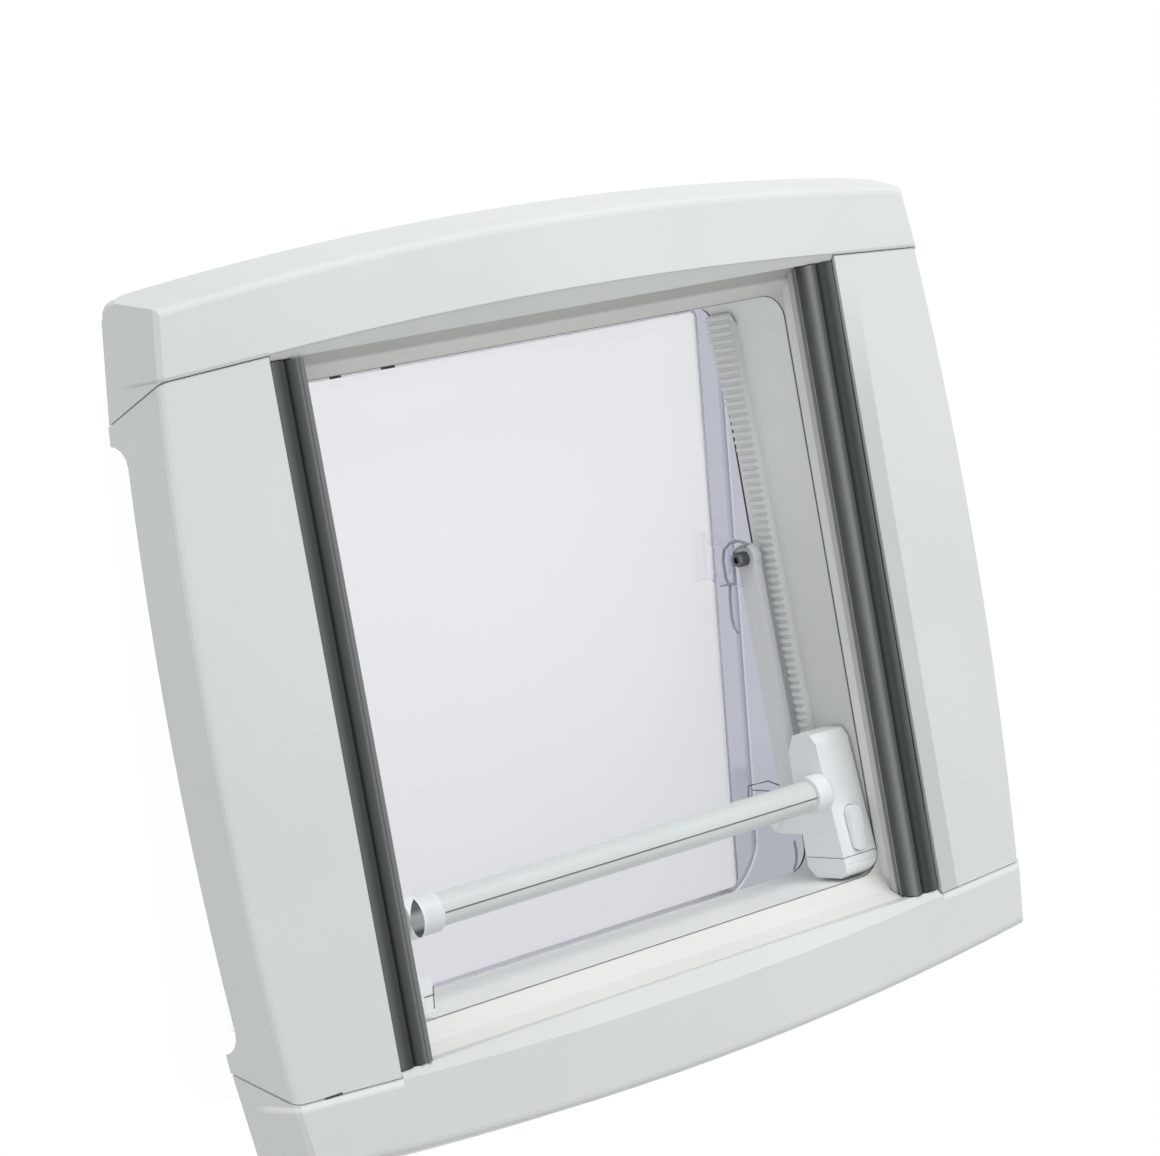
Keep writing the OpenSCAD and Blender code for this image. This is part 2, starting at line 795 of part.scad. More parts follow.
// side outline of a bracket in Y-Z: a clear plate with rounded lower corners and a window
module bracket_outline() {
    width = bracket_front + bracket_rear;
    mid = swivel_y + (bracket_rear - bracket_front) / 2;
    difference() {
        union() {
            translate([mid - width / 2, swivel_z]) square([width, pane_z - swivel_z]);
            translate([mid - width / 2 + bracket_r, swivel_z - bracket_r]) square([width - 2 * bracket_r, 2 * bracket_r]);
            for (y = [-1, 1])
                translate([mid + y * (width / 2 - bracket_r), swivel_z]) circle(r = bracket_r);
        }
        translate([mid, (swivel_z + 9 + pane_z - foot_t) / 2])
            rounded(width - 2 * bracket_border, pane_z - foot_t - swivel_z - 9 - 2 * bracket_border / 2, 3);
    }
}

module dome_bracket() {
    opened() {
        along_x(bracket_x, bracket_x + bracket_t) bracket_outline();
        translate([bracket_x - bracket_foot, swivel_y - bracket_front - 1, pane_z - foot_t])
            cube([bracket_t + 2 * bracket_foot, bracket_front + bracket_rear + 2, foot_t]);
        translate([bracket_x - 2, swivel_y, swivel_z])
            rotate([0, 90, 0]) cylinder(r = 5, h = 2);
        translate([bracket_x - 2, swivel_y, swivel_z])
            rotate([0, 90, 0]) cylinder(r = pin_r, h = bracket_t + arm_t + 3.6);
    }
}

module dome_bracket_left() {
    color("lightblue", 0.6) dome_bracket();
}

module dome_bracket_right() {
    color("lightblue", 0.6) mirror([1, 0, 0]) dome_bracket();
}

module catch_loop() {
    opened()
        translate([pane_w / 2 + pane_lap + catch_gap, pane_y - pane_l + catch_in, flange_z + dome_flange_t])
            difference() {
                cube([catch_w, catch_l, catch_h]);
                translate([2, -1, 2]) cube([catch_w - 4, catch_l + 2, catch_h - 4]);
            }
}

module catch_loop_left() {
    color("lightblue", 0.6) catch_loop();
}

module catch_loop_right() {
    color("lightblue", 0.6) mirror([1, 0, 0]) catch_loop();
}

// an arm is drawn from the dome's swivel towards the handle side
module arm() {
    translate([arm_x - arm_t / 2, carr_y, dome_piv_z])
        rotate([arm_slope, 0, 0])
            difference() {
                along_x(0, arm_t) {
                    circle(r = arm_end_r);
                    translate([-arm_l, 0]) circle(r = arm_end_r);
                    translate([-arm_l, -arm_w / 2]) square([arm_l, arm_w]);
                }
                for (y = [0, -arm_l])
                    translate([-1, y, 0]) rotate([0, 90, 0]) cylinder(r = pin_r + pin_gap, h = arm_t + 2);
            }
}

module arm_left() {
    color("white") arm();
}

module arm_right() {
    color("white") mirror([1, 0, 0]) arm();
}

module handle_bar() {
    color("white")
        translate([-housing_x - 2, bar_y, bar_z])
            rotate([0, 90, 0]) cylinder(d = bar_d, h = 2 * housing_x + 4);
}

module bar_socket() {
    translate([housing_x - 10, bar_y, bar_z])
        rotate([0, 90, 0])
            difference() {
                cylinder(r = bar_d / 2 + 2.2, h = 10);
                translate([0, 0, -1]) cylinder(r = bar_d / 2, h = 12);
            }
}

module bar_socket_left() {
    color("white") bar_socket();
}

module bar_socket_right() {
    color("white") mirror([1, 0, 0]) bar_socket();
}

// side outline of a slider housing in Y-Z, measured from the carriage's swivel
module housing_outline() {
    y1 = housing_l - housing_end;
    z0 = -bar_drop - housing_under;
    translate([car_y, car_z]) {
        polygon([[-housing_end + 4, z0 + 2], [-housing_end, z0 + 6], [-housing_end, -26], [-housing_end + 6, -20],
            [y1 - 10, -20], [y1, -26], [y1, z0 + 12], [y1 - 5, z0 + 8], [-housing_end + 8, z0]]);
        translate([-housing_end + 6, z0 + 6]) circle(r = 6);
    }
}

// plan of a housing, rounded where it stands in the shaft's corner
module housing_plan() {
    r = open_r - 2;
    out = hx - slide_gap;
    end = car_y - housing_end;
    translate([housing_x, end + r]) square([out - housing_x, housing_l]);
    translate([housing_x, end]) square([out - housing_x - r, housing_l]);
    translate([out - r, end + r]) circle(r = r);
}

module slider_body() {
    intersection() {
        union() {
            along_x(housing_x, hx - slide_gap) intersection() {
                housing_outline();
                translate([-far, car_z - 26 - far]) square([2 * far, far]);
            }
            along_x(housing_x, hx - rack_t - slide_gap) housing_outline();
        }
        translate([0, 0, face_z]) linear_extrude(far) housing_plan();
    }
}

module release_tab_plan(grow) {
    translate([(housing_x + hx) / 2, car_y - 6])
        rounded(tab_w + 2 * grow, tab_l + 2 * grow, tab_w / 2 - 0.1 + grow);
}

module slider_housing() {
    difference() {
        union() {
            difference() {
                slider_body();
                translate([0, cap_y - far, -far / 2]) cube([far, far, far]);
                translate([0, 0, bar_z - housing_under - 4]) linear_extrude(9) release_tab_plan(0.3);
            }
            along_x(housing_x, housing_x + ear_t) {
                translate([car_y, car_z]) circle(r = 8);
                translate([car_y - 8, car_z - 24]) square([16, 24]);
            }
            translate([housing_x - 2, car_y, car_z])
                rotate([0, 90, 0]) cylinder(r = 4.5, h = 2 + eps);
            translate([housing_x, car_y, car_z])
                rotate([0, 90, 0]) cylinder(r = pin_r, h = ear_t + arm_t + 1.6);
        }
        translate([housing_x - 1, bar_y, bar_z])
            rotate([0, 90, 0]) cylinder(r = bar_d / 2, h = 3);
    }
}

module slider_housing_left() {
    color("white") slider_housing();
}

module slider_housing_right() {
    color("white") mirror([1, 0, 0]) slider_housing();
}

module housing_cap() {
    intersection() {
        slider_body();
        translate([0, cap_y - 0.4 - far, -far / 2]) cube([far, far, far]);
    }
    along_x(housing_x + 4, hx - rack_t - slide_gap - 2)
        translate([cap_y - 0.4 - eps, bar_z - 2]) square([0.4 + eps, 8]);
}

module housing_cap_left() {
    color("white") housing_cap();
}

module housing_cap_right() {
    color("white") mirror([1, 0, 0]) housing_cap();
}

module release_tab() {
    translate([0, 0, bar_z - housing_under - 1.5]) linear_extrude(6.5) release_tab_plan(0);
}

module release_tab_left() {
    color("gainsboro") release_tab();
}

module release_tab_right() {
    color("gainsboro") mirror([1, 0, 0]) release_tab();
}

light_shaft();
roof_flange();
inner_frame();
cassette_cover_hinge_side();
cassette_cover_handle_side();
side_cover_left();
side_cover_right();
guide_rail_left();
guide_rail_right();
rack_left();
rack_right();
rim_seal();
hinge_base_left();
hinge_base_right();
dome_shell();
dome_pane();
hinge_leaf_left();
hinge_leaf_right();
dome_bracket_left();
dome_bracket_right();
catch_loop_left();
catch_loop_right();
arm_left();
arm_right();
handle_bar();
slider_housing_left();
slider_housing_right();
bar_socket_left();
bar_socket_right();
release_tab_left();
release_tab_right();
housing_cap_left();
housing_cap_right();
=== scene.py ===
import json
import math

import bmesh
import bpy
from mathutils import Matrix, Vector


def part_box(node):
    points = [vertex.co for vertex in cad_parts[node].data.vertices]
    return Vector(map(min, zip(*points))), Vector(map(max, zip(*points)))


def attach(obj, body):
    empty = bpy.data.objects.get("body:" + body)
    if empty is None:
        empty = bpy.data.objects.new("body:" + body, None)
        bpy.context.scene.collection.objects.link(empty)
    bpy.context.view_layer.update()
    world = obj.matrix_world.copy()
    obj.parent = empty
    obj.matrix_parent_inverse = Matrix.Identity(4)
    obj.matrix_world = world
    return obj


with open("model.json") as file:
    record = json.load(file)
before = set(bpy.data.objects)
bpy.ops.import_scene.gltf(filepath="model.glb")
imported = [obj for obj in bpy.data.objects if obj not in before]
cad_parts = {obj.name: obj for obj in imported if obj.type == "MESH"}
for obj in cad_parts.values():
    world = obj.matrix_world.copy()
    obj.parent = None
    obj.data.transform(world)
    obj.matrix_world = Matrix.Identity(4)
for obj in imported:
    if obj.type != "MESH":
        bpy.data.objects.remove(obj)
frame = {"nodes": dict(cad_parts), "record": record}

# The hatch hangs in a roof: -Z is down into the room and +Y is the hinge side. Left and right are as in the
# photo, so +X is left. Blender's own values are metres. Lengths written in millimetres are multiplied by MM.
scene = bpy.context.scene
nodes = frame["nodes"]
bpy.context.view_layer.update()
MM = 0.001
X, Y, Z = (1, 0, 0), (0, 1, 0), (0, 0, 1)
WHITE = (1, 1, 1, 1)

JOINTS = {joint["name"]: joint for joint in frame["record"]["behaviour"]["joints"]}
HINGE = Vector(JOINTS["dome_hinge"]["pos_m"])
PIVOT = Vector(JOINTS["arm_swivel"]["pos_m"])

# The dome stands open at rest, so its own up leans by this angle about the hinge line.
OPEN = math.radians(-JOINTS["dome_hinge"]["range_deg"][0])
DOME_UP = Vector((0, math.sin(OPEN), math.cos(OPEN)))
# in mm: the flange's underside with the dome shut, its thickness, and how far its top is along the dome's up
FLANGE_LEVEL, FLANGE_THICKNESS = 28.1, 2.5
FLANGE_TOP = (DOME_UP.dot(HINGE) - HINGE.z) / MM + FLANGE_LEVEL + FLANGE_THICKNESS

# middle and radius of the handle bar, in metres
bar_low, bar_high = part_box("handle_bar")
BAR = (bar_low + bar_high) / 2
BAR_RADIUS = (bar_high.z - bar_low.z) / 2
# direction of the bar's seam, counted from the hinge side over the outside
SEAM = math.radians(266)

# The joints between the covers slant by this much, and leave this gap in mm to the side covers' inner corners.
JOINT_SLOPE = math.tan(math.radians(3.4))
JOINT_GAP = 0.3

# angle between two faces from which a piece's edge looks sharp
SHARP = math.radians(32)

# the slow colour drift and the fine grain of the plastics, as a noise texture's scale and detail
DRIFT, CLEAR_DRIFT, GRAIN = (9.0, 3), (5.0, 2), (1400, 2)
# the values of that noise at which the drift reaches its darker and its lighter colour
DRIFT_ENDS, CLEAR_DRIFT_ENDS = (0.35, 0.62), (0.35, 0.65)

# Blender's Mix node has sockets of each type under the same names: these are the ones for colours
MIX_AMOUNT, MIX_BASE, MIX_OVER, MIX_RESULT = 0, 6, 7, 2


def box_mm(node):
    """A node's lowest and highest corners in millimetres."""
    return [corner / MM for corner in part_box(node)]


def screen_color(*levels):
    """A colour given as it looks on screen, 0 to 255, as linear values by the sRGB curve."""
    shares = [level / 255 for level in levels]
    return (*(v / 12.92 if v <= 0.04045 else ((v + 0.055) / 1.055) ** 2.4 for v in shares), 1.0)


def grey(value):
    """A colour without a hue."""
    return (value, value, value)


# Camera, at the photograph's angle
def set_camera():
    """The camera's own axes, place and lens, as solved from the straight lines of the frame in the photo."""
    right = Vector((-0.7873484451, -0.1747011651, -0.5912376247))
    up = Vector((-0.1905382723, 0.9810144901, -0.0361349837))
    back = Vector((0.5863255006, 0.0842025723, -0.8056874916))
    data = bpy.data.cameras.new("camera")
    data.sensor_fit = "HORIZONTAL"
    data.sensor_width = 36.0
    data.lens = 101.6935262
    data.clip_end = 60
    camera = bpy.data.objects.new("camera", data)
    scene.collection.objects.link(camera)
    pose = Matrix((right, up, back)).transposed().to_4x4()
    pose.translation = Vector((1.0279104854, 0.1845622130, -1.4489180899))
    camera.matrix_world = pose
    scene.camera = camera


# Shader nodes
def add_node(tree, kind, inputs, **settings):
    """A shader node with its settings and its inputs, each of them a plain value or another node's socket."""
    node = tree.nodes.new("ShaderNode" + kind)
    for name, value in settings.items():
        setattr(node, name, value)
    for key, value in inputs.items():
        if isinstance(value, bpy.types.NodeSocket):
            tree.links.new(value, node.inputs[key])
        else:
            node.inputs[key].default_value = value
    return node


def calculate(tree, operation, first, second=0.0, clamp=False):
    """The result of a Math node."""
    return add_node(tree, "Math", {0: first, 1: second}, operation=operation, use_clamp=clamp).outputs[0]


def seen_directly(tree):
    """1 for rays that show the background itself: straight, mirrored or through clear plastic."""
    path = tree.nodes.new("ShaderNodeLightPath")
    total = path.outputs["Is Camera Ray"]
    for name in ("Is Glossy Ray", "Is Transmission Ray"):
        total = calculate(tree, "ADD", total, path.outputs[name], clamp=True)
    return total


def noise(tree, coords, scale, detail):
    """Soft random values between 0 and 1, the same in every run."""
    return add_node(tree, "TexNoise", {"Vector": coords, "Scale": scale, "Detail": detail}).outputs["Fac"]


def ramp(tree, value, stops):
    """Colours between (position, colour) stops, which are given in rising order."""
    node = add_node(tree, "ValToRGB", {"Fac": value})
    elements = node.color_ramp.elements
    while len(elements) < len(stops):
        elements.new(0.5)
    for element, (position, color) in zip(elements, stops):
        element.position = position
        element.color = color
    return node.outputs["Color"]


def spread(tree, value, low, high):
    """Spreads 0 to 1 over low to high."""
    return add_node(tree, "MapRange", {"Value": value, "To Min": low, "To Max": high}).outputs["Result"]


def along(tree, coords, direction, start, end, mirrored=False):
    """0 to 1 from one distance in mm to another along a direction. Mirrored, it does so to both sides."""
    value = add_node(tree, "VectorMath", {0: coords, 1: direction}, operation="DOT_PRODUCT").outputs["Value"]
    if mirrored:
        value = calculate(tree, "ABSOLUTE", value)
    ends = {"From Min": start * MM, "From Max": end * MM}
    return add_node(tree, "MapRange", {"Value": value, **ends}).outputs["Result"]


def blended(tree, base, over, amount, blend="MIX"):
    """A base colour with another one blended over it."""
    inputs = {MIX_AMOUNT: amount, MIX_BASE: base, MIX_OVER: over}
    return add_node(tree, "Mix", inputs, data_type="RGBA", blend_type=blend).outputs[MIX_RESULT]


# Light, floor and background
def set_world(strength):
    """Soft light from all sides, and plain white where the background itself is seen."""
    world = bpy.data.worlds.new("studio")
    scene.world = world
    world.use_nodes = True
    tree = world.node_tree
    tree.nodes.clear()
    soft = add_node(tree, "Background", {"Color": WHITE, "Strength": strength})
    plain = add_node(tree, "Background", {"Color": WHITE, "Strength": 1.0})
    mix = add_node(tree, "MixShader", {0: seen_directly(tree), 1: soft.outputs[0], 2: plain.outputs[0]})
    add_node(tree, "OutputWorld", {"Surface": mix.outputs[0]})


def area_lamp(name, at, size, watts):
    """A square soft lamp that points at the middle of the frame."""
    target = Vector((0, 0, -0.03))
    data = bpy.data.lights.new(name, "AREA")
    data.shape = "SQUARE"
    data.size = size
    data.energy = watts
    lamp = bpy.data.objects.new(name, data)
    scene.collection.objects.link(lamp)
    lamp.location = at
    lamp.rotation_euler = (target - Vector(at)).to_track_quat("-Z", "Y").to_euler()


def lay_floor():
    """A plain pale floor far below the hatch, which is brighter where it is seen directly."""
    level, half, paleness, glow = -2.6, 9.0, 0.8, 0.42
    corners = [(-half, -half, level), (half, -half, level), (half, half, level), (-half, half, level)]
    mesh = bpy.data.meshes.new("floor")
    mesh.from_pydata(corners, [], [(0, 1, 2, 3)])
    obj = bpy.data.objects.new("floor", mesh)
    scene.collection.objects.link(obj)
    material = bpy.data.materials.new("floor_pale")
    material.use_nodes = True
    tree = material.node_tree
    tree.nodes.clear()
    pale = add_node(tree, "BsdfDiffuse", {"Color": (*grey(paleness), 1)})
    bright = add_node(tree, "Emission", {"Strength": calculate(tree, "MULTIPLY", seen_directly(tree), glow)})
    both = add_node(tree, "AddShader", {0: pale.outputs[0], 1: bright.outputs[0]})
    add_node(tree, "OutputMaterial", {"Surface": both.outputs[0]})
    mesh.materials.append(material)


# Kinds of material
def tint(color, *masks, blend="MULTIPLY"):
    """A paint that multiplies, or mixes in, a colour where all the masks, given as for along, are 1."""
    def paint(tree, coords, base):
        where = along(tree, coords, *masks[0])
        for mask in masks[1:]:
            where = calculate(tree, "MULTIPLY", where, along(tree, coords, *mask))
        return blended(tree, base, (*color[:3], 1), where, blend)
    return paint


def dressed(name, inputs):
    """A new material, its tree, its shader with plain values set, and the part's own coordinates."""
    material = bpy.data.materials.new(name)
    material.use_nodes = True
    tree = material.node_tree
    skin = tree.nodes["Principled BSDF"]
    for socket, value in inputs.items():
        skin.inputs[socket].default_value = value
    return material, tree, skin, tree.nodes.new("ShaderNodeTexCoord").outputs["Object"]


def plastic(name, light, dark, rough=(0.34, 0.46), grain=0.18, edge=0.6, coat=0.0, metallic=0.0, spec=0.5,
            paints=()):
    """Moulded plastic or metal: slow drift between two screen colours, fine grain, and softly rounded edges.

    The height of the grain and the radius of the edges are in millimetres.
    """
    material, tree, skin, coords = dressed(name, {
        "Metallic": metallic, "Specular IOR Level": spec, "Coat Weight": coat, "Coat Roughness": 0.12})
    colors = screen_color(*dark), screen_color(*light)
    base = ramp(tree, noise(tree, coords, *DRIFT), list(zip(DRIFT_ENDS, colors)))
    for paint in paints:
        base = paint(tree, coords, base)
    fine = noise(tree, coords, *GRAIN)
    edges = add_node(tree, "Bevel", {"Radius": edge * MM}, samples=4)
    bump = add_node(tree, "Bump", {"Strength": 0.35, "Distance": grain * MM, "Height": fine,
                                   "Normal": edges.outputs["Normal"]})
    tree.links.new(base, skin.inputs["Base Color"])
    tree.links.new(spread(tree, fine, *rough), skin.inputs["Roughness"])
    tree.links.new(bump.outputs["Normal"], skin.inputs["Normal"])
    return material


def clear(name, light, dark, ior, rough=(0.02, 0.06), through=1.0, paints=()):
    """Clear moulded acrylic, whose faint tint drifts between two linear colours over the surface."""
    material, tree, skin, coords = dressed(name, {"Transmission Weight": through, "IOR": ior})
    drift = noise(tree, coords, *CLEAR_DRIFT)
    base = ramp(tree, drift, list(zip(CLEAR_DRIFT_ENDS, ((*dark, 1), (*light, 1)))))
    for paint in paints:
        base = paint(tree, coords, base)
    tree.links.new(base, skin.inputs["Base Color"])
    tree.links.new(spread(tree, drift, *rough), skin.inputs["Roughness"])
    return material


# Materials with paint of their own, most of it painted shade and highlights
def joint_highlight_and_shade():
    """Painted highlight on the bevel below the joints at the handle side, and painted shade above those at the
    hinge side.
    """
    low, high = box_mm("side_cover_left")
    joint = high.y + JOINT_GAP + JOINT_SLOPE * low.x
    for sign in (1, -1):
        # from the side cover's inner edge outwards, as far as the rounded corners
        beside = ((sign, 0, 0), low.x - 0.3, low.x + 0.5)
        front = ((sign, 0, 0), 256, 253)
        handle_side, hinge_side = (sign * JOINT_SLOPE, -1, 0), (sign * JOINT_SLOPE, 1, 0)
        # painted highlight where the bevel below the joint catches the light
        yield tint(screen_color(238, 241, 241), beside, front, (handle_side, joint + 0.1, joint + 0.9),
                   (handle_side, joint + 4.6, joint + 2.4), blend="MIX")
        # painted shade above the joint
        yield tint((0.77, 0.77, 0.76), beside, front, (hinge_side, joint + 0.1, joint + 0.5),
                   (hinge_side, joint + 2.4, joint + 1.2))


def cover_plastic():
    """The covers, with painted shade that deepens slowly towards the left, and painted highlight and shade
    along their joints.
    """
    return plastic("cover_plastic", (222, 227, 226), (219, 224, 223), paints=(
        # painted shade towards the left, then the painted highlight and shade at the joints
        tint(grey(0.91), (X, -60, 240)), *joint_highlight_and_shade()))


def right_cover_plastic():
    """The right side cover, with shade on its strip along the guide rail, but not at the hinge end."""
    return plastic("side_cover_plastic", (222, 227, 226), (219, 224, 223), paints=(
        tint(grey(0.81), (X, -199, -198.2), (Y, 168, 95)),))


def frame_plastic():
    """The inner frame, with shade on the band between the shaft and the cover at the hinge side."""
    return plastic("frame_plastic", (235, 236, 233), (232, 233, 230), rough=(0.36, 0.5), paints=(
        tint((0.67, 0.67, 0.655), (Y, 173.5, 175), (Y, 190, 188), (Z, -34, -36)),))


def shaft_plastic():
    """The shaft, with painted shade on its right wall that deepens towards the handle side."""
    return plastic("shaft_plastic", (238, 241, 241), (235, 238, 238), rough=(0.36, 0.5), paints=(
        tint((0.72, 0.72, 0.71), (X, -150, -172), (Y, 140, -150)),))


def rail_glint(tree, coords, base):
    """Painted highlights and shade across the rail's two bulbs: a light line at the shaft, dark in the middle,
    lighter towards the cover.
    """
    low, high = box_mm("guide_rail_left")
    across = along(tree, coords, X, low.x - 0.1, high.x, mirrored=True)
    greys = ((0.0, 122), (0.10, 138), (0.22, 82), (0.36, 63), (0.44, 78), (0.52, 60), (0.68, 51), (0.86, 90),
             (1.0, 118))
    stops = [(position, screen_color(level - 4, level + 1, level)) for position, level in greys]
    share = 0.92
    return blended(tree, base, ramp(tree, across, stops), share)


def rail_plastic():
    """The dark guide rails, with painted shade that deepens further in and between the bulbs, and pale at
    their foot in the frame.
    """
    return plastic("rail_anthracite", (62, 69, 69), (57, 64, 64), rough=(0.3, 0.42), spec=0.3, grain=0.08,
                   # painted highlights and shade across the bulbs, painted shade further in, and the pale foot
                   edge=0.3, paints=(rail_glint, tint(grey(0.36), (Z, -66.5, -61.5)),
                                     tint(screen_color(190, 191, 188), (Z, -58, -57), blend="MIX")))


def arm_plastic():
    """The arms. The right one has painted shade that deepens towards its outer side."""
    low, high = box_mm("arm_right")
    return plastic("arm_plastic", (222, 225, 228), (216, 219, 223), rough=(0.2, 0.3), coat=0.2, paints=(
        tint((0.8, 0.805, 0.82), (X, high.x - 0.5, low.x)),))


def hollow_shade():
    """A hollow that is grey in its middle and nearly black towards both sides."""
    middle = BAR.y / MM
    return plastic("hollow_shade", (168, 171, 174), (150, 154, 157), rough=(0.5, 0.6), edge=0.1, paints=(
        tint((0.2, 0.2, 0.21), (Y, middle + 2.5, middle + 5.5)),
        tint((0.16, 0.16, 0.17), (Y, middle - 3.5, middle - 6))))


def dome_acrylic():
    """The dome: clear, with a lavender flange that fades out at the left and is deeper at the right."""
    # full up to just above the flange's top, and fading out over the next millimetres
    flange = (DOME_UP, FLANGE_TOP + 4, FLANGE_TOP + 0.8)
    return clear("dome_acrylic", (0.992, 0.992, 0.996), (0.988, 0.989, 0.993), ior=1.08, paints=(
        tint((0.79, 0.8, 0.84), flange, (X, 185, 120)),
        tint((0.63, 0.64, 0.685), flange, (X, -130, -170)),
        tint(grey(0.87), flange, (X, -130, -170), (Y, -90, -150))))


def pane_acrylic():
    """The milky inner pane, with painted shade that deepens slowly towards the handle side."""
    return clear("pane_acrylic", (0.935, 0.945, 0.97), (0.925, 0.935, 0.962), ior=1.3, rough=(0.3, 0.36),
                 through=0.88, paints=(tint((0.84, 0.845, 0.86), (Y, 150, -150)),))


MATERIALS = {
    "cover": cover_plastic(),
    "cover_right": right_cover_plastic(),
    "frame": frame_plastic(),
    "shaft": shaft_plastic(),
    "rack": plastic("rack_plastic", (226, 229, 229), (221, 224, 224), rough=(0.3, 0.42), edge=0.4),
    "rail": rail_plastic(),
    "seal": plastic("seal_rubber", (60, 61, 62), (52, 53, 54), rough=(0.6, 0.8), edge=0.3),
    "hinge": plastic("hinge_grey", (178, 180, 182), (170, 172, 175)),
    "slider": plastic("slider_plastic", (240, 244, 246), (237, 241, 243), rough=(0.26, 0.36)),
    "arm": arm_plastic(),
    "bar": plastic("bar_plastic", (217, 222, 222), (214, 219, 219), rough=(0.24, 0.32)),
    "tab": plastic("tab_plastic", (242, 245, 247), (239, 242, 244), rough=(0.2, 0.3)),
    "screw": plastic("screw_steel", (118, 120, 124), (96, 98, 102), rough=(0.25, 0.4), edge=0.15,
                     metallic=1.0),
    "dark": plastic("shadow_gap", (58, 61, 63), (48, 51, 53), rough=(0.6, 0.7), edge=0.1),
    "sleeve": plastic("sleeve_plastic", (230, 235, 237), (227, 232, 234), rough=(0.26, 0.36)),
    "hollow": hollow_shade(),
    # dark seams and joint lines, and the painted shadow in the shaft's groove
    "line": plastic("seam_and_shadow_line", (112, 117, 115), (98, 103, 101), rough=(0.5, 0.6), edge=0.1),
    "dome": dome_acrylic(),
    "pane": pane_acrylic(),
    "bracket": clear("bracket_acrylic", (0.96, 0.965, 0.98), (0.95, 0.955, 0.97), ior=1.02),
    "rim": plastic("clear_rim", (158, 162, 172), (142, 146, 156), rough=(0.15, 0.3), edge=0.1),
}
MATERIAL_OF_NODE = {
    "light_shaft": "shaft", "side_cover_right": "cover_right", "rack": "rack", "handle_bar": "bar",
    "slider_housing": "slider", "bar_socket": "slider", "housing_cap": "slider", "arm": "arm",
}
MATERIAL_OF_SLOT = {
    "cover_white": "cover", "frame_white": "frame", "rail_dark": "rail", "seal_rubber": "seal",
    "hinge_grey": "hinge", "dome_clear": "dome", "pane_milky": "pane", "bracket_clear": "bracket",
    "tab_white": "tab",
}
CLEAR_NODES = ("dome_shell", "dome_pane", "dome_bracket", "catch_loop")


def dress_nodes():
    """Gives each CAD node a material by its name, with or without its side, or else by its slot."""
    slot_of = {part["node"]: part["material_slot"] for part in frame["record"]["subparts"]}
    for name, obj in nodes.items():
        kind = name.removesuffix("_left").removesuffix("_right")
        by_name = MATERIAL_OF_NODE.get(name) or MATERIAL_OF_NODE.get(kind)
        obj.data.materials.clear()
        obj.data.materials.append(MATERIALS[by_name or MATERIAL_OF_SLOT[slot_of[name]]])
        for face in obj.data.polygons:
            face.material_index = 0
        if kind in CLEAR_NODES:
            obj.visible_shadow = False
            obj.visible_diffuse = False


# Shapes
def ring(shape, middle, side, other, radius, steps):
    """A round row of points in the plane of two directions."""
    turns = [2 * math.pi * i / steps for i in range(steps)]
    return [shape.verts.new(middle + (side * math.cos(a) + other * math.sin(a)) * radius) for a in turns]


def skin_over(shape, rings, closed=False):
    """Skins a row of rings, and joins the last to the first or caps both ends."""
    count = len(rings[0])
    for one, following in zip(rings, rings[1:] + rings[:1] if closed else rings[1:]):
        for i in range(count):
            j = (i + 1) % count
            shape.faces.new((one[i], one[j], following[j], following[i]))
    if not closed:
        shape.faces.new(rings[0])
        shape.faces.new(rings[-1])


def turned(shape, profile, place, axis, steps):
    """Turns a profile of (distance along the axis, radius) points about an axis through a place."""
    axis = Vector(axis).normalized()
    side = axis.orthogonal().normalized()
    other = axis.cross(side)
    skin_over(shape, [ring(shape, place + axis * distance, side, other, radius, steps)
                      for distance, radius in profile])


def tube(shape, points, radius, steps=8):
    """A bent wire through the points."""
    # no wire runs along this direction, so the rings don't twist
    across = Vector((1, 0, 0.01))
    rings = []
    for i, point in enumerate(points):
        ahead = points[min(i + 1, len(points) - 1)] - points[max(i - 1, 0)]
        side = ahead.cross(across).normalized()
        rings.append(ring(shape, point, side, ahead.cross(side).normalized(), radius, steps))
    skin_over(shape, rings)


def block(shape, low, high):
    """A small box from its lowest to its highest corner."""
    middle, size = (low + high) / 2, high - low
    for corner in bmesh.ops.create_cube(shape, size=1.0)["verts"]:
        corner.co = middle + corner.co * size


def piece(name, shape, body, material, smooth=True):
    """Makes a piece of a finished shape, with its material, that rides on its body."""
    mesh = bpy.data.meshes.new(name)
    bmesh.ops.recalc_face_normals(shape, faces=shape.faces)
    shape.to_mesh(mesh)
    shape.free()
    mesh.materials.append(MATERIALS[material])
    for face in mesh.polygons:
        face.use_smooth = smooth
    if smooth:
        mesh.set_sharp_from_angle(angle=SHARP)
    obj = bpy.data.objects.new(name, mesh)
    scene.collection.objects.link(obj)
    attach(obj, body)


# Small pieces
def pivot_on_bracket(side, sign):
    """The arm's pivot on the face of a clear bracket that looks to the middle of the hatch."""
    low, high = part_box(f"dome_bracket_{side}")
    return Vector((low.x if sign > 0 else high.x, PIVOT.y, PIVOT.z))


def pivot_screw(side, sign):
    """Button head screw with a socket in the middle of the clear bracket's boss."""
    head = ((-7.2, 4.3), (-1.6, 4.3), (-0.6, 3.6), (-0.4, 2.9))
    socket = ((-0.4, 2.0), (-2.4, 1.8))
    profile = [(distance * MM, radius * MM) for distance, radius in (*head, *socket)]
    shape = bmesh.new()
    turned(shape, profile, pivot_on_bracket(side, sign), (-sign, 0, 0), steps=36)
    piece(f"pivot_screw_{side}", shape, "dome", "screw")


